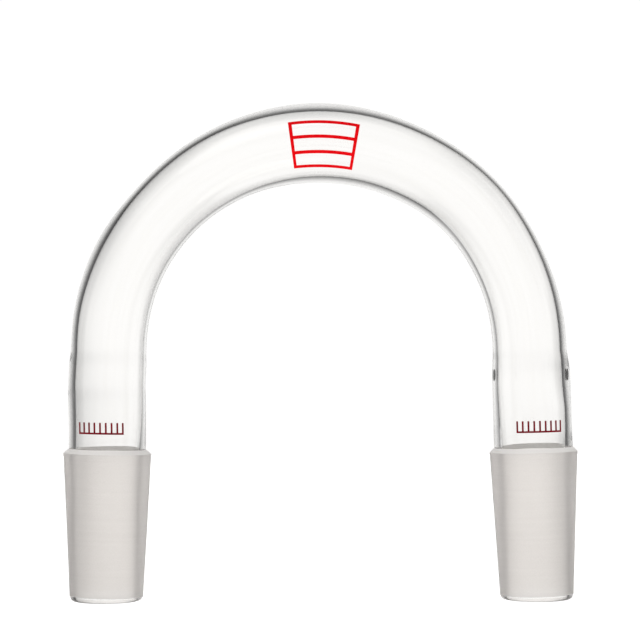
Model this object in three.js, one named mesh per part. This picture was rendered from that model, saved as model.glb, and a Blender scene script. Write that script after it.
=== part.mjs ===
// Laboratory glass connecting adapter: a clear tube bent through half a circle, with a male 24/40
// ground-glass taper joint welded to each end. Millimetres. +Z is up, the arch stands in the XZ
// plane, -Y is the printed front, and the origin is midway between the two feet, on the bench.

import * as THREE from 'three';
import { mergeVertices } from 'three/addons/utils/BufferGeometryUtils.js';

// Standard 24/40 taper joint: 24 mm at the large end, 40 mm long, 1 in 10 on diameter. The taper
// ends a little above the foot. Its last stretch is the clear, fire-polished tip, and the rest is
// ground. A chamfered shoulder leads from the large end in to the shank.
const CONE_LARGE_DIAMETER = 24;
const CONE_LENGTH = 40;
const CONE_TAPER = 1 / 10;
const CONE_BORE_DIAMETER = 16.7;
const FOOT_ALLOWANCE = 0.4;
const TIP_LENGTH = 1.4;
const TIP_EDGE_RADIUS = 0.5;
const TIP_STEP_IN = 0.05;
const FOOT_LAND = 0.25;
const SHOULDER_HEIGHT = 1.2;

// Clear shank of the joint, from the shoulder up to the weld. Its bore opens above the cone's thick
// root, in stations of [height above the shoulder, diameter].
const SHANK_DIAMETER = 21.6;
const SHANK_BORE = [[0, CONE_BORE_DIAMETER], [1.5, 16.9], [3.5, 17.5], [8, 18.2], [15, 18.3]];
const SHANK_FILLET_RISE = 2;
const SHANK_FILLET_SPREAD = 0.15;
const WELD_HEIGHT = 60;

// Bent tube from weld to weld. The legs open outward a little towards the feet.
const TUBE_DIAMETER = 21.4;
const TUBE_BORE_DIAMETER = 18.1;
const BEND_RADIUS = 57.8;
const BEND_CENTRE_HEIGHT = 67.5;
const LEG_SPLAY = THREE.MathUtils.degToRad(1.15);

// Fired enamel on the front: a ruled write-on panel at the crown, a row of ticks on each shank.
const ENAMEL_THICKNESS = 0.15;
const ENAMEL_CLEARANCE = 0.08;
const PANEL_WIDTH = 18;
const PANEL_HEIGHT = 13.2;
const PANEL_STROKE = 0.9;
const PANEL_RULES = 2;
const PANEL_OFFSET_RIGHT = 1.3;
const PANEL_OFFSET_UP = -1;
const PANEL_CELLS_ACROSS = 12;
const PANEL_CELLS_BETWEEN_RULES = 3;
const TICK_COUNT = 9;
const TICK_STROKE = 0.5;
const TICK_LENGTH = 2.7;
const TICK_ROW_WIDTH = 13;
const TICK_ROW_HEIGHT = 47.5;
const TICK_ROW_OUTWARD = 1.15;

// Neighbouring zones of the fused glass stay this far apart, so that no two solids overlap.
const ZONE_GAP = 0.02;

// Facets.
const SIDES = 32;
const BEND_STEPS = 36;
const CORNER_STEPS = 3;
const FILLET_STEPS = 3;
const MERGE_DISTANCE = 1e-4;

const clearGlass = { color: 0xf4f5f3, roughness: 0.03, metalness: 0, transparent: true, opacity: 0.35 };
const groundGlass = { color: 0xdedad6, roughness: 0.6, metalness: 0 };
const brightRedEnamel = { color: 0xd8131c, roughness: 0.35, metalness: 0 };
const darkRedEnamel = { color: 0x7d1820, roughness: 0.35, metalness: 0 };

// Heights along a leg's own axis, from the foot.
const coneTop = FOOT_ALLOWANCE + CONE_LENGTH;
const shoulderTop = coneTop + SHOULDER_HEIGHT;
const tipRadius = (CONE_LARGE_DIAMETER - (coneTop - TIP_LENGTH) * CONE_TAPER) / 2;

// The arc stops short of a half circle by the splay at each end, and a straight stretch follows.
const arcHalfSweep = Math.PI / 2 - LEG_SPLAY;
const arcHalfLength = BEND_RADIUS * arcHalfSweep;
const arcEndHeight = BEND_CENTRE_HEIGHT + BEND_RADIUS * Math.cos(arcHalfSweep);
const legLength = arcEndHeight / Math.cos(LEG_SPLAY);
const footOffset = BEND_RADIUS * Math.sin(arcHalfSweep) + legLength * Math.sin(LEG_SPLAY);

function asClosedSurface(geometry) {
  geometry.deleteAttribute('normal');
  geometry.deleteAttribute('uv');
  const closed = mergeVertices(geometry, MERGE_DISTANCE);
  closed.computeVertexNormals();
  return closed;
}

function namedMesh(name, geometry, finish) {
  const mesh = new THREE.Mesh(asClosedSurface(geometry), new THREE.MeshStandardMaterial(finish));
  mesh.name = name;
  return mesh;
}

// A ring turned about +Z from a closed profile of [radius, height] corners, outside edge upward.
function turnedRing(profile) {
  const outline = [...profile, profile[0]].map(([radius, height]) => new THREE.Vector2(radius, height));
  return new THREE.LatheGeometry(outline, SIDES).rotateX(Math.PI / 2);
}

// Corners of a quarter circle, from one angle to the other, about [radius, height].
function roundedCorner(radius, height, fromAngle, toAngle) {
  const corners = [];
  for (let step = 0; step <= CORNER_STEPS; step += 1) {
    const angle = THREE.MathUtils.lerp(fromAngle, toAngle, step / CORNER_STEPS);
    corners.push([
      radius + TIP_EDGE_RADIUS * Math.cos(angle),
      height + TIP_EDGE_RADIUS * Math.sin(angle),
    ]);
  }
  return corners;
}

// The foot ring lies level on the bench, although the leg above it leans.
function levelFoot(geometry, lean) {
  const positions = geometry.attributes.position;
  for (let index = 0; index < positions.count; index += 1) {
    if (positions.getZ(index) < MERGE_DISTANCE) {
      positions.setZ(index, positions.getX(index) * Math.tan(lean));
    }
  }
  return geometry;
}

function jointTip(lean) {
  const outer = tipRadius - TIP_STEP_IN;
  const inner = CONE_BORE_DIAMETER / 2;
  const cornerHeight = FOOT_LAND + TIP_EDGE_RADIUS;
  const profile = [
    [inner, TIP_LENGTH - ZONE_GAP],
    ...roundedCorner(inner + TIP_EDGE_RADIUS, cornerHeight, Math.PI, Math.PI * 1.5),
    [inner + TIP_EDGE_RADIUS, 0],
    [outer - TIP_EDGE_RADIUS, 0],
    ...roundedCorner(outer - TIP_EDGE_RADIUS, cornerHeight, Math.PI * 1.5, Math.PI * 2),
    [outer, TIP_LENGTH - ZONE_GAP],
  ];
  return levelFoot(turnedRing(profile), lean);
}

function groundCone() {
  return turnedRing([
    [CONE_BORE_DIAMETER / 2, TIP_LENGTH],
    [tipRadius, TIP_LENGTH],
    [CONE_LARGE_DIAMETER / 2, coneTop],
    [SHANK_DIAMETER / 2 + SHANK_FILLET_SPREAD, shoulderTop],
    [CONE_BORE_DIAMETER / 2, shoulderTop],
  ]);
}

function jointShank() {
  const foot = shoulderTop + ZONE_GAP;
  const outside = [];
  for (let step = 0; step <= FILLET_STEPS; step += 1) {
    const rise = step / FILLET_STEPS;
    const spread = SHANK_FILLET_SPREAD * (1 - rise) ** 2;
    outside.push([SHANK_DIAMETER / 2 + spread, foot + SHANK_FILLET_RISE * rise]);
  }
  outside.push([TUBE_DIAMETER / 2, WELD_HEIGHT]);
  const bore = SHANK_BORE.map(([height, diameter]) => [diameter / 2, foot + height]);
  bore.push([TUBE_BORE_DIAMETER / 2, WELD_HEIGHT]);
  return turnedRing([...outside, ...bore.reverse()]);
}

// The bent tube's centreline: up from the left weld, over the arch and down to the right weld.
class BendCentreline extends THREE.Curve {
  getPoint(t, target = new THREE.Vector3()) {
    const halfLength = arcHalfLength + legLength - WELD_HEIGHT - ZONE_GAP;
    const distance = (2 * t - 1) * halfLength;
    const side = Math.sign(distance);
    const alongArc = Math.min(Math.abs(distance), arcHalfLength);
    const alongLeg = Math.abs(distance) - alongArc;
    const angle = alongArc / BEND_RADIUS;
    return target.set(
      side * (BEND_RADIUS * Math.sin(angle) + alongLeg * Math.sin(LEG_SPLAY)),
      0,
      BEND_CENTRE_HEIGHT + BEND_RADIUS * Math.cos(angle) - alongLeg * Math.cos(LEG_SPLAY),
    );
  }
}

function bendTube() {
  const section = new THREE.Shape().absarc(0, 0, TUBE_DIAMETER / 2, 0, Math.PI * 2);
  const bore = new THREE.Path().absarc(0, 0, TUBE_BORE_DIAMETER / 2, 0, Math.PI * 2);
  section.holes.push(bore);
  return new THREE.ExtrudeGeometry(section, {
    extrudePath: new BendCentreline(),
    steps: BEND_STEPS,
    curveSegments: SIDES / 2,
  });
}

// Edges of a row of bands, each band being [width, cells], centred on zero.
function bandEdges(bands) {
  const total = bands.reduce((sum, [width]) => sum + width, 0);
  const edges = [-total / 2];
  for (const [width, cells] of bands) {
    const start = edges[edges.length - 1];
    for (let cell = 1; cell <= cells; cell += 1) {
      edges.push(start + (width * cell) / cells);
    }
  }
  return edges;
}

// A thin raised print: every inked cell of a grid, laid on a curved surface by place(u, v, lift).
function raisedPrint(columns, rows, isInked, place) {
  const corners = [];
  const low = ENAMEL_CLEARANCE;
  const high = ENAMEL_CLEARANCE + ENAMEL_THICKNESS;
  const addQuad = (a, b, c, d) => {
    for (const [u, v, lift] of [a, b, c, a, c, d]) {
      corners.push(...place(u, v, lift));
    }
  };
  const inked = (column, row) => (
    column >= 0 && column < columns.length - 1
    && row >= 0 && row < rows.length - 1
    && isInked(column, row)
  );
  for (let column = 0; column < columns.length - 1; column += 1) {
    for (let row = 0; row < rows.length - 1; row += 1) {
      if (!inked(column, row)) {
        continue;
      }
      const [left, right] = [columns[column], columns[column + 1]];
      const [bottom, top] = [rows[row], rows[row + 1]];
      const ring = [[left, bottom], [right, bottom], [right, top], [left, top]];
      const neighbours = [[0, -1], [1, 0], [0, 1], [-1, 0]];
      addQuad(...ring.map(([u, v]) => [u, v, high]));
      addQuad(...ring.map(([u, v]) => [u, v, low]).reverse());
      neighbours.forEach(([columnStep, rowStep], side) => {
        if (!inked(column + columnStep, row + rowStep)) {
          const [start, end] = [ring[side], ring[(side + 1) % ring.length]];
          addQuad([...start, low], [...end, low], [...end, high], [...start, high]);
        }
      });
    }
  }
  const geometry = new THREE.BufferGeometry();
  geometry.setAttribute('position', new THREE.Float32BufferAttribute(corners, 3));
  return geometry;
}

function writeOnPanel() {
  const gapWidth = PANEL_WIDTH - 2 * PANEL_STROKE;
  const gapCount = PANEL_RULES + 1;
  const gapHeight = (PANEL_HEIGHT - (gapCount + 1) * PANEL_STROKE) / gapCount;
  const rowBands = [[PANEL_STROKE, 1]];
  const rowIsRuled = [true];
  for (let gap = 0; gap < gapCount; gap += 1) {
    rowBands.push([gapHeight, PANEL_CELLS_BETWEEN_RULES], [PANEL_STROKE, 1]);
    rowIsRuled.push(...Array(PANEL_CELLS_BETWEEN_RULES).fill(false), true);
  }
  const columns = bandEdges([[PANEL_STROKE, 1], [gapWidth, PANEL_CELLS_ACROSS], [PANEL_STROKE, 1]]);
  const lastColumn = columns.length - 2;
  const isInked = (column, row) => rowIsRuled[row] || column === 0 || column === lastColumn;
  const tubeRadius = TUBE_DIAMETER / 2;
  const placeOnArch = (u, v, lift) => {
    const tubeAngle = (v + PANEL_OFFSET_UP) / tubeRadius;
    const archAngle = (u + PANEL_OFFSET_RIGHT) / BEND_RADIUS;
    const archRadius = BEND_RADIUS + (tubeRadius + lift) * Math.sin(tubeAngle);
    return [
      archRadius * Math.sin(archAngle),
      -(tubeRadius + lift) * Math.cos(tubeAngle),
      BEND_CENTRE_HEIGHT + archRadius * Math.cos(archAngle),
    ];
  };
  return raisedPrint(columns, bandEdges(rowBands), isInked, placeOnArch);
}

function tickRow(side) {
  const gapWidth = (TICK_ROW_WIDTH - TICK_COUNT * TICK_STROKE) / (TICK_COUNT - 1);
  const columnBands = [];
  for (let tick = 0; tick < TICK_COUNT; tick += 1) {
    if (tick > 0) {
      columnBands.push([gapWidth, 1]);
    }
    columnBands.push([TICK_STROKE, 1]);
  }
  const baseRow = 0;
  const isInked = (column, row) => row === baseRow || column % 2 === 0;
  const rows = bandEdges([[TICK_STROKE, 1], [TICK_LENGTH, 1]]);
  const shankRadius = SHANK_DIAMETER / 2;
  const placeOnShank = (u, v, lift) => {
    const angle = (u + side * TICK_ROW_OUTWARD) / shankRadius;
    return [
      (shankRadius + lift) * Math.sin(angle),
      -(shankRadius + lift) * Math.cos(angle),
      TICK_ROW_HEIGHT + v,
    ];
  };
  return raisedPrint(bandEdges(columnBands), rows, isInked, placeOnShank);
}

const adapter = new THREE.Group();
adapter.add(namedMesh('bend_tube', bendTube(), clearGlass));
adapter.add(namedMesh('bend_mark', writeOnPanel(), brightRedEnamel));

for (const [name, side] of [['left', -1], ['right', 1]]) {
  const lean = -side * LEG_SPLAY;
  const leg = new THREE.Group();
  leg.position.x = side * footOffset;
  leg.rotation.y = lean;
  leg.add(namedMesh(`${name}_joint_shank`, jointShank(), clearGlass));
  leg.add(namedMesh(`${name}_ground_cone`, groundCone(), groundGlass));
  leg.add(namedMesh(`${name}_joint_tip`, jointTip(lean), clearGlass));
  leg.add(namedMesh(`${name}_shank_mark`, tickRow(side), darkRedEnamel));
  adapter.add(leg);
}

export default adapter;
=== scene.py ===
import math
from collections import namedtuple

import bmesh
import bpy
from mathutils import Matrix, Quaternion, Vector


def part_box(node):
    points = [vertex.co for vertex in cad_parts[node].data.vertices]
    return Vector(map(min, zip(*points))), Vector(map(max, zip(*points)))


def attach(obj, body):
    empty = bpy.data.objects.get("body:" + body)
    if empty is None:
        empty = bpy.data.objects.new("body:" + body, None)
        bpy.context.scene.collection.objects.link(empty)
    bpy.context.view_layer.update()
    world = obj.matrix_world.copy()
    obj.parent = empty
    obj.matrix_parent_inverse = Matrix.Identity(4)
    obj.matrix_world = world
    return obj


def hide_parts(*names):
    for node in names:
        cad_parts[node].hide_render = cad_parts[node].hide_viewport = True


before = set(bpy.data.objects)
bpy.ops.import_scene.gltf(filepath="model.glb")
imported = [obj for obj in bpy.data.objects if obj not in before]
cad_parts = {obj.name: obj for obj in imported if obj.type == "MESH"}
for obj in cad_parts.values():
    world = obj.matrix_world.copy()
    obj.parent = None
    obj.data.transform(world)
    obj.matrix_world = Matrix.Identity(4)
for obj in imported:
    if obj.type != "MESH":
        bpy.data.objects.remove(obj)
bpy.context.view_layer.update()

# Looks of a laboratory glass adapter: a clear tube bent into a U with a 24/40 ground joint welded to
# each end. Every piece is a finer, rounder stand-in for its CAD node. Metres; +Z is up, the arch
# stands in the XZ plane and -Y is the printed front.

MM = 0.001

# Facets.
SIDES = 144
ARCH_STEPS = 150
LEG_STEP = 0.3 * MM
CONE_STEP = 1 * MM
CORNER_STEPS = 8
DISC_SIDES = 96

# Main sizes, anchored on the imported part.
TUBE_LOW, TUBE_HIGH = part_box("bend_tube")
CONE_LOW, CONE_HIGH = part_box("right_ground_cone")
TUBE_RADIUS = (TUBE_HIGH.y - TUBE_LOW.y) / 2
TUBE_WALL = 1.65 * MM
TUBE_BORE_RADIUS = TUBE_RADIUS - TUBE_WALL
BEND_RADIUS = 57.8 * MM
BEND_CENTRE_HEIGHT = TUBE_HIGH.z - TUBE_RADIUS - BEND_RADIUS
LEG_SPLAY = math.radians(1.15)
ARC_HALF_SWEEP = math.pi / 2 - LEG_SPLAY
LEG_LENGTH = (BEND_CENTRE_HEIGHT + BEND_RADIUS * math.cos(ARC_HALF_SWEEP)) / math.cos(LEG_SPLAY)
FOOT_OFFSET = BEND_RADIUS * math.sin(ARC_HALF_SWEEP) + LEG_LENGTH * math.sin(LEG_SPLAY)

# Heights along a leg's own axis, from the foot.
TIP_TOP = 1.4 * MM
CONE_TOP = 40.4 * MM
SHOULDER_TOP = 41.6 * MM
WELD_HEIGHT = 60 * MM

# Ground joint: 24 mm at the large end, 1 in 10 on diameter.
CONE_LARGE_RADIUS = (CONE_HIGH.y - CONE_LOW.y) / 2
CONE_TAPER_PER_RADIUS = 1 / 20
CONE_BORE_RADIUS = 8.35 * MM
TIP_STEP_IN = 0.05 * MM
TIP_INNER_CORNER = (0.15 * MM, 0.15 * MM)
TIP_OUTER_CORNER = (1.45 * MM, 1.4 * MM)

# The drawn and flame-worked tube wanders a little from its true size. Each row is a height above
# the foot, a diameter, and the drift of that surface's centre away from the other leg, in
# millimetres. The bore narrows slowly down into the cone. The cone keeps the outside's centre line
# and its own taper. The last rows of a leg are the end rows of the bend.
LEG_OUTSIDE = {
    "left": [
        (0, 21.4, -0.35), (41.6, 21.1, 0), (46, 21.1, 0.05), (50, 21.2, 0.17),
        (54.5, 21.3, 0.33), (59, 21.15, 0.43), (64, 21.15, 0.3), (68.7, 20.65, 0.11),
    ],
    "right": [
        (0, 21.4, 0.05), (41.6, 21.6, 0.1), (46, 21.45, 0.05), (52, 21.4, 0.05),
        (58, 21.35, 0), (61.5, 21.3, 0), (65, 20.8, -0.1), (68.7, 20.2, -0.25),
    ],
}
LEG_BORE = {
    "left": [
        (0, 16.7, -0.35), (28, 16.7, -0.1), (41.6, 17.4, -0.1), (44.5, 17.62, -0.15), (48, 17.85, -0.17),
        (54, 18.2, -0.1), (59, 18.42, 0.04), (64, 18.3, -0.05), (68.7, 18.13, -0.165),
    ],
    "right": [
        (0, 16.7, 0.05), (28, 16.7, 0.1), (41.6, 17.4, 0.1), (44.5, 17.7, 0.1), (48, 17.95, 0.05),
        (52, 18.05, 0), (56.7, 17.85, -0.2), (60, 17.6, -0.3), (65, 17.4, -0.3), (68.7, 17.15, -0.45),
    ],
}

# Round the bend, in the plane of the arch: degrees from the crown towards the right leg, diameter,
# and drift away from the arch's centre, in millimetres.
ARCH_OUTSIDE = [
    (-88.85, 20.65, 0.11), (-65, 20.45, 0.33), (-48, 19.7, -0.05), (-25, 20.7, 0.09), (0, 21.85, -0.04),
    (22, 20.95, -0.3), (45, 19.95, -0.02), (65, 19.7, -0.3), (88.85, 20.2, -0.25),
]
ARCH_BORE = [
    (-88.85, 18.13, -0.165), (-65, 17.4, -0.06), (-48, 17, -0.22), (-25, 17.8, -0.1), (0, 18.15, -0.2),
    (22, 17.6, -0.15), (45, 17, 0.26), (65, 16.9, -0.28), (88.85, 17.15, -0.45),
]
ARCH_END_BLEND = math.radians(12)

# Painted shade of the seeds in a weld: dark specks drawn long where the seeds look dark. Each row gives
# the leg, the height, degrees from the outward side (minus is towards the printed front), the distance
# from the leg's axis, and half sizes through the wall, round it and along it, in millimetres.
WELD_SEED_SHADES = [
    ("right", 61.3, -16.5, 8.95, 0.38, 0.6, 1.6),
    ("right", 61.6, 182, 9.65, 0.4, 0.8, 1.6),
]

# Camera of the photograph's view.
CAMERA_DISTANCE = 0.72
CAMERA_HEIGHT = 0.072
CAMERA_TARGET = Vector((0.0001, 0, 0.0767))
CAMERA_ROLL = math.radians(-0.25)
CAMERA_NEAREST = 0.01
FRAME_WIDTH = 0.1755

# One cross-section of the tube. Its half width is radius in the plane of the arch and across square
# to that plane, and along is its distance from the foot, which the textures follow.
Ring = namedtuple("Ring", "centre outward radius across along")


def smooth_between(rows, position):
    """The row values at a position, on a smooth curve through the rows that never overshoots."""
    position = min(max(position, rows[0][0]), rows[-1][0])
    index = max(i for i in range(len(rows) - 1) if rows[i][0] <= position)
    span = rows[index + 1][0] - rows[index][0]
    share = (position - rows[index][0]) / span

    def slope(at, column):
        if at in (0, len(rows) - 1):
            return 0
        before = (rows[at][column] - rows[at - 1][column]) / (rows[at][0] - rows[at - 1][0])
        after = (rows[at + 1][column] - rows[at][column]) / (rows[at + 1][0] - rows[at][0])
        return 2 * before * after / (before + after) if before * after > 0 else 0

    values = []
    for column in range(1, len(rows[0])):
        low, high = rows[index][column], rows[index + 1][column]
        start, stop = slope(index, column) * span, slope(index + 1, column) * span
        values.append(
            low
            + start * share
            + (3 * (high - low) - 2 * start - stop) * share**2
            + (2 * (low - high) + start + stop) * share**3
        )
    return values


def side_sign(side_name):
    return -1 if side_name == "left" else 1


def leg_frame(side_name):
    """Foot, upward and outward directions of a leg."""
    side = side_sign(side_name)
    foot = Vector((side * FOOT_OFFSET, 0, 0))
    up = Vector((-side * math.sin(LEG_SPLAY), 0, math.cos(LEG_SPLAY)))
    outward = Vector((side * math.cos(LEG_SPLAY), 0, math.sin(LEG_SPLAY)))
    return foot, up, outward


def wall_ring(table, side_name, height, radius=None):
    """A ring of the worked tube, or of that radius on its centre line."""
    diameter, drift = smooth_between(table[side_name], height / MM)
    if radius is None:
        radius = diameter / 2 * MM
    foot, up, outward = leg_frame(side_name)
    centre = foot + up * height + outward * (drift * MM)
    return Ring(centre, outward, radius, radius, height)


def arch_ring(table, angle):
    """A ring round the bend, flattened in the plane of the arch but of true size across it."""
    diameter, drift = smooth_between(table, math.degrees(angle))
    radius = diameter / 2 * MM
    true_size = TUBE_RADIUS if table is ARCH_OUTSIDE else TUBE_BORE_RADIUS
    share = min(1, max(0, (ARC_HALF_SWEEP - abs(angle)) / ARCH_END_BLEND))
    across = radius + (true_size - radius) * share * share * (3 - 2 * share)
    outward = Vector((math.sin(angle), 0, math.cos(angle)))
    centre = Vector((0, 0, BEND_CENTRE_HEIGHT)) + outward * (BEND_RADIUS + drift * MM)
    along = LEG_LENGTH + BEND_RADIUS * (ARC_HALF_SWEEP - abs(angle))
    return Ring(centre, outward, radius, across, along)


def spaced(start, stop, step):
    count = max(1, round(abs(stop - start) / step))
    return [start + (stop - start) * index / count for index in range(count + 1)]


def new_object(name, build, materials=()):
    """An object in the scene from a finished bmesh."""
    mesh = bpy.data.meshes.new(name)
    build.to_mesh(mesh)
    build.free()
    for material in materials:
        mesh.materials.append(material)
    made = bpy.data.objects.new(name, mesh)
    bpy.context.scene.collection.objects.link(made)
    return made


def add_seed_shade(build, stone, finish):
    """A dark speck inside the wall, painted shade for a seed: a small closed shell."""
    side_name, height, degrees, from_axis, through, round_wall, along = stone
    foot, up, outward = leg_frame(side_name)
    turn = math.radians(degrees)
    out = outward * math.cos(turn) + Vector((0, math.sin(turn), 0))
    sideways = out.cross(up)
    centre = foot + up * (height * MM) + out * (from_axis * MM)
    shell = bmesh.ops.create_icosphere(build, subdivisions=4, radius=1)["verts"]
    for corner in shell:
        x, y, z = corner.co
        offset = out * (x * through) + sideways * (y * round_wall) + up * (z * along)
        corner.co = centre + offset * MM
    faces = {face for corner in shell for face in corner.link_faces}
    for face in faces:
        face.smooth = True
        face.material_index = finish
    bmesh.ops.recalc_face_normals(build, faces=list(faces))


def swept_wall(name, rings, materials, finish_of, creased, stones=()):
    """A closed surface through a closed loop of rings. finish_of(i) is the material of the band
    from ring i to the next, creased holds the rings with a sharp edge, and any seed shades, dark
    specks of painted shade, take the last material."""
    build = bmesh.new()
    place = build.verts.layers.float_vector.new("around_along")
    corners = []
    for ring in rings:
        loop = []
        for side in range(SIDES):
            turn = 2 * math.pi * side / SIDES
            position = (
                ring.centre
                + ring.outward * (ring.radius * math.cos(turn))
                + Vector((0, ring.across * math.sin(turn), 0))
            )
            corner = build.verts.new(position)
            corner[place] = Vector((math.cos(turn), math.sin(turn), ring.along))
            loop.append(corner)
        corners.append(loop)
    for index, loop in enumerate(corners):
        following = corners[(index + 1) % len(corners)]
        for side in range(SIDES):
            beside = (side + 1) % SIDES
            face = build.faces.new((loop[side], loop[beside], following[beside], following[side]))
            face.material_index = finish_of(index)
            face.smooth = True
    for index in creased:
        loop = corners[index]
        for side in range(SIDES):
            edge = build.edges.get((loop[side], loop[(side + 1) % SIDES]))
            edge.smooth = False
    bmesh.ops.recalc_face_normals(build, faces=build.faces)
    for stone in stones:
        add_seed_shade(build, stone, len(materials) - 1)
    return new_object(name, build, materials)


def stands_for(piece, node):
    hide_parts(node)
    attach(piece, "root")
    return piece


# ---------------------------------------------------------------- materials

GLASS_IOR = 1.47


def node_material(name):
    material = bpy.data.materials.new(name)
    material.use_nodes = True
    tree = material.node_tree
    return material, tree, tree.nodes["Principled BSDF"]


def add_node(tree, kind, settings=None, **inputs):
    node = tree.nodes.new(kind)
    for name, value in (settings or {}).items():
        setattr(node, name, value)
    for name, value in inputs.items():
        node.inputs[name.replace("_", " ")].default_value = value
    return node


def one_shader_material(name, kind, **inputs):
    """A material that is only that kind of shader, in place of the usual one."""
    material = bpy.data.materials.new(name)
    material.use_nodes = True
    tree = material.node_tree
    tree.nodes.clear()
    shader = add_node(tree, kind, **inputs)
    output = tree.nodes.new("ShaderNodeOutputMaterial")
    tree.links.new(shader.outputs[0], output.inputs["Surface"])
    return material, tree, shader


def tube_coordinates(tree, around, along):
    """A vector that runs round and along the tube, scaled for a noise texture."""
    source = add_node(tree, "ShaderNodeAttribute", {"attribute_name": "around_along"})
    scale = add_node(tree, "ShaderNodeVectorMath", {"operation": "MULTIPLY"})
    scale.inputs[1].default_value = (around, around, along)
    tree.links.new(source.outputs["Vector"], scale.inputs[0])
    return scale.outputs["Vector"]


def noise(tree, vector, scale, detail=2.0, roughness=0.5):
    texture = add_node(tree, "ShaderNodeTexNoise", Scale=scale, Detail=detail, Roughness=roughness)
    tree.links.new(vector, texture.inputs["Vector"])
    return texture.outputs["Fac"]


def remap(tree, value, low, high, to_low, to_high):
    node = tree.nodes.new("ShaderNodeMapRange")
    for name, number in zip(("From Min", "From Max", "To Min", "To Max"), (low, high, to_low, to_high)):
        node.inputs[name].default_value = number
    tree.links.new(value, node.inputs["Value"])
    return node.outputs["Result"]


def maths(tree, operation, first, second=0.0):
    node = add_node(tree, "ShaderNodeMath", {"operation": operation})
    for socket, value in zip(node.inputs, (first, second)):
        if isinstance(value, (int, float)):
            socket.default_value = value
        else:
            tree.links.new(value, socket)
    return node.outputs[0]


def bump(tree, shader, height, strength, distance):
    node = add_node(tree, "ShaderNodeBump", Strength=strength, Distance=distance)
    tree.links.new(height, node.inputs["Height"])
    tree.links.new(node.outputs["Normal"], shader.inputs["Normal"])


def colour_between(tree, shader, share, deep, light):
    """Sets the base colour, which goes from deep to light with the share."""
    node = add_node(tree, "ShaderNodeMix", {"data_type": "RGBA"}, A=(*deep, 1), B=(*light, 1))
    tree.links.new(share, node.inputs["Factor"])
    tree.links.new(node.outputs["Result"], shader.inputs["Base Color"])


def clear_glass():
    """Drawn borosilicate: water-clear, with faint draw lines along the tube."""
    material, tree, shader = node_material("clear_glass")
    shader.inputs["Transmission Weight"].default_value = 1
    shader.inputs["IOR"].default_value = GLASS_IOR
    shader.inputs["Roughness"].default_value = 0
    lines = noise(tree, tube_coordinates(tree, around=5, along=25), scale=1)
    share = remap(tree, lines, 0.35, 0.65, 0, 1)
    colour_between(tree, shader, share, (0.985, 0.983, 0.975), (1, 1, 0.995))
    return material


def ground_glass(name, deep, light, smoothest, roughest, clearness):
    """Ground glass: a fine matte grain and faint grinding rings round the cone."""
    material, tree, shader = node_material(name)
    shader.inputs["Transmission Weight"].default_value = clearness
    shader.inputs["IOR"].default_value = GLASS_IOR
    source = add_node(tree, "ShaderNodeTexCoord")
    grain = noise(tree, source.outputs["Object"], scale=4500, detail=3, roughness=0.6)
    rings = noise(tree, tube_coordinates(tree, around=0.6, along=1800), scale=1, detail=3)
    faint_rings = maths(tree, "MULTIPLY", rings, 0.3)
    mixed = maths(tree, "ADD", grain, faint_rings)
    colour_between(tree, shader, remap(tree, mixed, 0.4, 0.9, 0, 1), deep, light)
    tree.links.new(remap(tree, grain, 0.3, 0.7, smoothest, roughest), shader.inputs["Roughness"])
    bump(tree, shader, mixed, strength=0.2, distance=0.03 * MM)
    return material


def fused_joint():
    """Where two zones of the same glass meet there is no surface to see."""
    return one_shader_material("fused_joint", "ShaderNodeBsdfTransparent")[0]


def enamel(name, deep, light):
    """Fired enamel: a soft gloss, a little uneven in depth, with pinholes."""
    material, tree, shader = node_material(name)
    source = add_node(tree, "ShaderNodeTexCoord")
    cloud = noise(tree, source.outputs["Object"], scale=900, detail=3)
    colour_between(tree, shader, remap(tree, cloud, 0.3, 0.7, 0, 1), deep, light)
    tree.links.new(remap(tree, cloud, 0.3, 0.7, 0.4, 0.55), shader.inputs["Roughness"])
    shader.inputs["Specular IOR Level"].default_value = 0.03
    pits = noise(tree, source.outputs["Object"], scale=5000)
    bump(tree, shader, pits, strength=0.3, distance=0.02 * MM)
    return material


CLEAR = clear_glass()
FUSED = fused_joint()
GROUND = ground_glass(
    "ground_glass", (0.785, 0.752, 0.724), (0.94, 0.905, 0.875),
    smoothest=0.38, roughest=0.5, clearness=0.9,
)
# Painted light: a paler, more matte copy of the ground glass on the shoulder's upward-facing chamfer, so
# that it shows as light as the cone in place of the shade it would fall into.
SHOULDER_PAINTED_LIGHT = ground_glass(
    "ground_shoulder_painted_light", (0.9, 0.88, 0.86), (0.98, 0.96, 0.94),
    smoothest=0.45, roughest=0.6, clearness=0.25,
)
BRIGHT_RED = enamel("bright_red_enamel", (0.66, 0.001, 0.003), (0.78, 0.002, 0.006))
DARK_RED = enamel("dark_red_enamel", (0.12, 0.003, 0.007), (0.19, 0.007, 0.013))
# The seeds in a weld get a dark grey with the enamel's uneven surface: painted shade.
PAINTED_SEED_SHADE = enamel("weld_seed_painted_shade", (0.1, 0.1, 0.098), (0.22, 0.22, 0.215))

# ---------------------------------------------------------------- glass

# The order of a wall's materials.
CLEAR_SLOT, FUSED_SLOT, GROUND_SLOT, SHOULDER_PAINTED_LIGHT_SLOT = range(4)


def wall_between(name, outside, inside, shoulder=None, stones=()):
    """A tube wall from its outside rings and its bore rings, in the same order, fused at both ends.
    It is ground outside if a shoulder is given, which is the ring where the shoulder's paler copy
    of the ground glass starts, painted light that keeps its chamfer out of shade."""
    rings = outside + inside[::-1]
    end = len(outside) - 1
    last = len(rings) - 1

    def finish_of(index):
        if index in (end, last):
            return FUSED_SLOT
        if index > end or shoulder is None:
            return CLEAR_SLOT
        return SHOULDER_PAINTED_LIGHT_SLOT if index >= shoulder else GROUND_SLOT

    materials = [CLEAR, FUSED]
    creases = {0, end, end + 1, last}
    if shoulder is not None:
        materials += [GROUND, SHOULDER_PAINTED_LIGHT]
        creases.add(shoulder)
    # Seed shades are dark specks of painted shade, in a dark material of their own.
    if stones:
        materials.append(PAINTED_SEED_SHADE)
    return swept_wall(name, rings, materials, finish_of, creases, stones)


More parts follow.
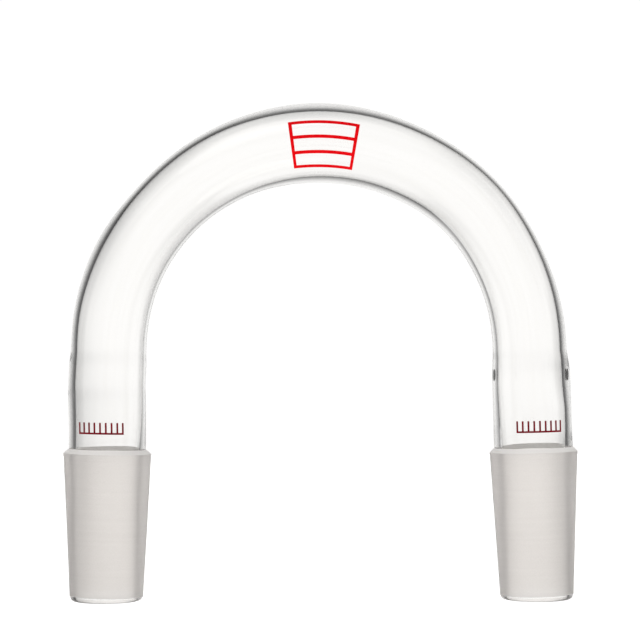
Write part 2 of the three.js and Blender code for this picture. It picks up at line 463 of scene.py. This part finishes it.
def bend_tube_glass():
    straight = spaced(WELD_HEIGHT, LEG_LENGTH, LEG_STEP)[:-1]
    angles = [ARC_HALF_SWEEP * (2 * step / ARCH_STEPS - 1) for step in range(ARCH_STEPS + 1)]
    surfaces = []
    for leg_table, arch_table in ((LEG_OUTSIDE, ARCH_OUTSIDE), (LEG_BORE, ARCH_BORE)):
        rings = [wall_ring(leg_table, "left", height) for height in straight]
        rings += [arch_ring(arch_table, angle) for angle in angles]
        rings += [wall_ring(leg_table, "right", height) for height in straight[::-1]]
        surfaces.append(rings)
    piece = wall_between("bend_tube_glass", *surfaces, stones=WELD_SEED_SHADES)
    return stands_for(piece, "bend_tube")


def shank_glass(side_name):
    heights = spaced(SHOULDER_TOP, WELD_HEIGHT, LEG_STEP)
    outside = [wall_ring(LEG_OUTSIDE, side_name, height) for height in heights]
    inside = [wall_ring(LEG_BORE, side_name, height) for height in heights]
    piece = wall_between(f"{side_name}_shank_glass", outside, inside)
    return stands_for(piece, f"{side_name}_joint_shank")


def cone_radius(height):
    return CONE_LARGE_RADIUS - (CONE_TOP - height) * CONE_TAPER_PER_RADIUS


def cone_glass(side_name):
    outside = []
    for height in spaced(TIP_TOP, CONE_TOP, CONE_STEP):
        outside.append(wall_ring(LEG_OUTSIDE, side_name, height, cone_radius(height)))
    large_end = len(outside) - 1
    shank = wall_ring(LEG_OUTSIDE, side_name, SHOULDER_TOP).radius
    for height in spaced(CONE_TOP, SHOULDER_TOP, LEG_STEP)[1:]:
        share = (height - CONE_TOP) / (SHOULDER_TOP - CONE_TOP)
        radius = CONE_LARGE_RADIUS + (shank - CONE_LARGE_RADIUS) * share
        outside.append(wall_ring(LEG_OUTSIDE, side_name, height, radius))
    bore_heights = spaced(TIP_TOP, SHOULDER_TOP, CONE_STEP)
    inside = [wall_ring(LEG_BORE, side_name, height) for height in bore_heights]
    piece = wall_between(f"{side_name}_cone_glass", outside, inside, shoulder=large_end)
    return stands_for(piece, f"{side_name}_ground_cone")


def tip_glass(side_name):
    """The fire-polished end: a rounded rim on a level foot."""
    outer = cone_radius(TIP_TOP) - TIP_STEP_IN
    profile = [(CONE_BORE_RADIUS, TIP_TOP)]
    corners = (
        (CONE_BORE_RADIUS + TIP_INNER_CORNER[0], TIP_INNER_CORNER, math.pi),
        (outer - TIP_OUTER_CORNER[0], TIP_OUTER_CORNER, 1.5 * math.pi),
    )
    for radius, (width, height), start in corners:
        for angle in spaced(start, start + math.pi / 2, math.pi / 2 / CORNER_STEPS):
            profile.append((radius + width * math.cos(angle), height * (1 + math.sin(angle))))
    rings = [wall_ring(LEG_OUTSIDE, side_name, height, radius) for radius, height in profile]
    last = len(rings) - 1

    def finish_of(index):
        return FUSED_SLOT if index == last else CLEAR_SLOT

    piece = swept_wall(f"{side_name}_tip_glass", rings, (CLEAR, FUSED), finish_of, {0, last})
    side = side_sign(side_name)
    for vertex in piece.data.vertices:
        drop = max(0, 1 - vertex.co.z / TIP_TOP)
        vertex.co.z -= drop * (side * vertex.co.x - FOOT_OFFSET) * math.tan(LEG_SPLAY)
    return stands_for(piece, f"{side_name}_joint_tip")


# ---------------------------------------------------------------- enamel marks

# The film's lower and upper faces above the glass, and its largest cell.
ENAMEL_LOW = 0.01 * MM
ENAMEL_HIGH = 0.07 * MM
PRINT_CELL = 0.3 * MM


def band_edges(bands):
    """Edges of a row of bands of (width, inked), centred on zero, and which cells are inked."""
    edges = [-sum(width for width, inked in bands) / 2]
    cells = []
    for width, inked in bands:
        count = max(1, math.ceil(width / PRINT_CELL))
        start = edges[-1]
        edges += [start + width * (cell + 1) / count for cell in range(count)]
        cells += [inked] * count
    return edges, cells


def stroke_bands(count, stroke, total):
    """Evenly spaced strokes that fill a total width, as bands of (width, inked)."""
    gap = (total - count * stroke) / (count - 1)
    return [(stroke, True)] + [(gap, False), (stroke, True)] * (count - 1)


def raised_print(name, material, column_bands, row_bands, surface):
    """A thin printed film on a grid of cells, laid on the glass by surface(u, v, lift). A cell is
    inked if its column or its row is."""
    columns, column_ink = band_edges(column_bands)
    rows, row_ink = band_edges(row_bands)
    build = bmesh.new()
    corners = {}

    def corner(column, row, lift):
        key = (column, row, lift)
        if key not in corners:
            corners[key] = build.verts.new(surface(columns[column], rows[row], lift))
        return corners[key]

    def inked(column, row):
        inside = 0 <= column < len(columns) - 1 and 0 <= row < len(rows) - 1
        return inside and (column_ink[column] or row_ink[row])

    for column in range(len(columns) - 1):
        for row in range(len(rows) - 1):
            if not inked(column, row):
                continue
            ring = ((column, row), (column + 1, row), (column + 1, row + 1), (column, row + 1))
            build.faces.new([corner(*point, ENAMEL_HIGH) for point in ring])
            build.faces.new([corner(*point, ENAMEL_LOW) for point in ring[::-1]])
            for side, step in enumerate(((0, -1), (1, 0), (0, 1), (-1, 0))):
                if not inked(column + step[0], row + step[1]):
                    start, stop = ring[side], ring[(side + 1) % 4]
                    build.faces.new((
                        corner(*start, ENAMEL_LOW),
                        corner(*stop, ENAMEL_LOW),
                        corner(*stop, ENAMEL_HIGH),
                        corner(*start, ENAMEL_HIGH),
                    ))
    bmesh.ops.recalc_face_normals(build, faces=build.faces)
    return new_object(name, build, [material])


def write_on_panel():
    """A plain ruled panel on the front of the crown."""
    width = 18 * MM
    height = 13.2 * MM
    stroke = 0.9 * MM
    rules = 2
    offset_right = 1.3 * MM
    offset_up = -1 * MM
    columns = stroke_bands(2, stroke, width)
    rows = stroke_bands(rules + 2, stroke, height)

    def surface(u, v, lift):
        ring = arch_ring(ARCH_OUTSIDE, (u + offset_right) / BEND_RADIUS)
        turn = (v + offset_up) / TUBE_RADIUS
        along_plane = ring.outward * ((ring.radius + lift) * math.sin(turn))
        return ring.centre + along_plane + Vector((0, -(ring.across + lift) * math.cos(turn), 0))

    piece = raised_print("arch_panel", BRIGHT_RED, columns, rows, surface)
    return stands_for(piece, "bend_mark")


def tick_row(side_name):
    """A plain row of ticks on a base line, on the front of a shank."""
    count = 9
    stroke = 0.5 * MM
    tick_length = 2.7 * MM
    row_width = 13 * MM
    row_height = 47.5 * MM
    outward_shift = 1.15 * MM
    side = side_sign(side_name)
    columns = stroke_bands(count, stroke, row_width)
    rows = [(stroke, True), (tick_length, False)]

    def surface(u, v, lift):
        ring = wall_ring(LEG_OUTSIDE, side_name, row_height + v)
        turn = (side * u + outward_shift) / ring.radius
        across = Vector((0, -math.cos(turn), 0))
        return ring.centre + (ring.outward * math.sin(turn) + across) * (ring.radius + lift)

    piece = raised_print(f"{side_name}_tick_row", DARK_RED, columns, rows, surface)
    return stands_for(piece, f"{side_name}_shank_mark")


glass = [bend_tube_glass()]
for leg_name in ("left", "right"):
    glass += [shank_glass(leg_name), cone_glass(leg_name), tip_glass(leg_name)]
for piece in glass:
    piece.visible_shadow = False
write_on_panel()
tick_row("left")
tick_row("right")

# ---------------------------------------------------------------- studio


def direction(azimuth, elevation):
    """The way a camera looks from azimuth and elevation, in degrees."""
    a = math.radians(azimuth)
    e = math.radians(elevation)
    return Vector((-math.sin(a) * math.cos(e), math.cos(a) * math.cos(e), -math.sin(e)))


def falloff(tree, value, stops):
    """A smooth curve through (value, brightness) stops."""
    node = tree.nodes.new("ShaderNodeFloatCurve")
    top = stops[-1][0]
    brightest = max(level for _, level in stops)
    points = node.mapping.curves[0].points
    for index, (position, level) in enumerate(stops):
        if index in (0, len(stops) - 1):
            point = points[0 if index == 0 else len(points) - 1]
            point.location = (position / top, level / brightest)
        else:
            point = points.new(position / top, level / brightest)
        point.handle_type = "AUTO_CLAMPED"
    node.mapping.use_clip = False
    node.mapping.update()
    tree.links.new(maths(tree, "MINIMUM", maths(tree, "DIVIDE", value, top), 1.0), node.inputs["Value"])
    return maths(tree, "MULTIPLY", node.outputs["Value"], brightest)


def brightest_of(tree, levels):
    brightest = levels[0]
    for level in levels[1:]:
        brightest = maths(tree, "MAXIMUM", brightest, level)
    return brightest


# Brightness of the light tent against the angle from the middle of a lit screen, in degrees. SCREEN
# is used for both sides and the back, OVERHEAD for above and below. LOW_SCREEN stands where a view
# from behind and a little above looks, so that the glass is lit in that view too.
SCREEN = [
    (0, 1.03), (11, 1.03), (16, 0.96), (22, 0.86), (30, 0.64),
    (38, 0.36), (45, 0.16), (55, 0.07), (90, 0.07),
]
FRONT = [(0, 1.03), (12, 1.03), (30, 0.98), (58, 0.9), (75, 0.4), (90, 0.1)]
OVERHEAD = [(0, 0.9), (24, 0.9), (40, 0.2), (90, 0)]
LOW_SCREEN = [(0, 1.05), (12, 1.05), (24, 0.15), (90, 0)]
LOW_SCREEN_VIEW = (225, 15)

# The lit backdrop behind the object, seen only through the glass. Its brightness falls away from
# its centre, in millimetres, and a little towards the bench. A second, lower patch is lit for views
# from higher up.
BACKDROP_DISTANCE = 0.6
BACKDROP_RADIUS = 1
BACKDROP_CENTRE = (0.04, 0.11)
BACKDROP = [
    (0, 1), (150, 1), (185, 0.97), (230, 0.88), (276, 0.78), (320, 0.69), (362, 0.6), (420, 0.48),
    (478, 0.38), (540, 0.26), (600, 0.16), (650, 0.12), (700, 0.09), (760, 0.06), (1000, 0.04),
]
SHADE_HEIGHTS = (-0.1, 0.08)
SHADE_LEVELS = (0.9, 1)
LOW_PATCH_CENTRE = (-0.6, -0.33)
LOW_PATCH = [(0, 0.8), (180, 0.8), (300, 0.1), (1000, 0)]

# The white of the tent and the backdrop.
STUDIO_WHITE = (1, 0.992, 0.985, 1)

# The floor, and a faint softbox above the front left.
FLOOR_RADIUS = 0.9
FLOOR_GAP = 0.1 * MM
FLOOR_GLOW = 0.75
SOFTBOX_PLACE = Vector((-0.35, -0.6, 1.1))
SOFTBOX_AIM = Vector((0, 0, 0.06))
SOFTBOX_SIZE = 0.8
SOFTBOX_WATTS = 1


def studio_world():
    world = bpy.data.worlds.new("studio")
    bpy.context.scene.world = world
    world.use_nodes = True
    tree = world.node_tree
    background = tree.nodes["Background"]
    way = tree.nodes.new("ShaderNodeTexCoord").outputs["Generated"]
    split = tree.nodes.new("ShaderNodeSeparateXYZ")
    tree.links.new(way, split.inputs["Vector"])

    def lit_by(axis_value, stops):
        angle = maths(tree, "ARCCOSINE", maths(tree, "MINIMUM", axis_value, 1.0))
        return falloff(tree, maths(tree, "MULTIPLY", angle, 180 / math.pi), stops)

    low_aim = add_node(tree, "ShaderNodeVectorMath", {"operation": "DOT_PRODUCT"})
    low_aim.inputs[1].default_value = direction(*LOW_SCREEN_VIEW)
    tree.links.new(way, low_aim.inputs[0])
    x, y, z = split.outputs
    levels = [
        lit_by(maths(tree, "ABSOLUTE", x), SCREEN),
        lit_by(y, SCREEN),
        lit_by(maths(tree, "MULTIPLY", y, -1), FRONT),
        lit_by(maths(tree, "ABSOLUTE", z), OVERHEAD),
        lit_by(low_aim.outputs["Value"], LOW_SCREEN),
    ]
    tree.links.new(brightest_of(tree, levels), background.inputs["Strength"])
    background.inputs["Color"].default_value = STUDIO_WHITE


def disc(name, radius, material):
    build = bmesh.new()
    bmesh.ops.create_circle(build, cap_ends=True, segments=DISC_SIDES, radius=radius)
    return new_object(name, build, [material])


def lit_backdrop():
    """An upright disc behind the object, which only rays that pass through the glass see."""
    material, tree, glow = one_shader_material("lit_backdrop", "ShaderNodeEmission", Color=STUDIO_WHITE)
    place = tree.nodes.new("ShaderNodeNewGeometry").outputs["Position"]
    split = tree.nodes.new("ShaderNodeSeparateXYZ")
    tree.links.new(place, split.inputs["Vector"])
    x, _, z = split.outputs

    def lit_from(centre, stops):
        across = maths(tree, "SUBTRACT", x, centre[0])
        upward = maths(tree, "SUBTRACT", z, centre[1])
        across_squared = maths(tree, "MULTIPLY", across, across)
        upward_squared = maths(tree, "MULTIPLY", upward, upward)
        distance = maths(tree, "SQRT", maths(tree, "ADD", across_squared, upward_squared))
        return falloff(tree, maths(tree, "DIVIDE", distance, MM), stops)

    shade = remap(tree, z, *SHADE_HEIGHTS, *SHADE_LEVELS)
    centre_light = maths(tree, "MULTIPLY", lit_from(BACKDROP_CENTRE, BACKDROP), shade)
    level = brightest_of(tree, [centre_light, lit_from(LOW_PATCH_CENTRE, LOW_PATCH)])
    tree.links.new(level, glow.inputs["Strength"])
    backdrop = disc("lit_backdrop", BACKDROP_RADIUS, material)
    backdrop.rotation_euler.x = math.pi / 2
    backdrop.location = (BACKDROP_CENTRE[0], BACKDROP_DISTANCE, BACKDROP_CENTRE[1])
    backdrop.visible_camera = False
    backdrop.visible_diffuse = False
    backdrop.visible_glossy = False
    backdrop.visible_shadow = False


def studio_floor():
    """A plain white disc. Rays that pass through the glass or glance off it look past the floor at
    the light tent."""
    material, _, shader = node_material("floor_white")
    shader.inputs["Base Color"].default_value = (0.8, 0.8, 0.8, 1)
    shader.inputs["Roughness"].default_value = 1
    shader.inputs["Specular IOR Level"].default_value = 0
    shader.inputs["Emission Color"].default_value = (1, 1, 1, 1)
    shader.inputs["Emission Strength"].default_value = FLOOR_GLOW
    floor = disc("floor", FLOOR_RADIUS, material)
    floor.location.z = -FLOOR_GAP
    floor.visible_transmission = False
    floor.visible_glossy = False


def softbox():
    lamp = bpy.data.lights.new("softbox", "AREA")
    lamp.shape = "DISK"
    lamp.size = SOFTBOX_SIZE
    lamp.energy = SOFTBOX_WATTS
    light = bpy.data.objects.new("softbox", lamp)
    light.location = SOFTBOX_PLACE
    aim = SOFTBOX_AIM - SOFTBOX_PLACE
    light.rotation_euler = aim.to_track_quat("-Z", "Y").to_euler()
    bpy.context.scene.collection.objects.link(light)


def photo_camera():
    camera_data = bpy.data.cameras.new("camera")
    camera_data.angle = 2 * math.atan(FRAME_WIDTH / 2 / CAMERA_DISTANCE)
    camera_data.clip_start = CAMERA_NEAREST
    camera = bpy.data.objects.new("camera", camera_data)
    camera.location = (CAMERA_TARGET.x, -CAMERA_DISTANCE, CAMERA_HEIGHT)
    aim = (CAMERA_TARGET - camera.location).to_track_quat("-Z", "Y")
    camera.rotation_euler = (aim @ Quaternion((0, 0, 1), CAMERA_ROLL)).to_euler()
    bpy.context.scene.collection.objects.link(camera)
    bpy.context.scene.camera = camera


studio_world()
lit_backdrop()
studio_floor()
softbox()
photo_camera()
bpy.context.scene.view_settings.view_transform = "Standard"
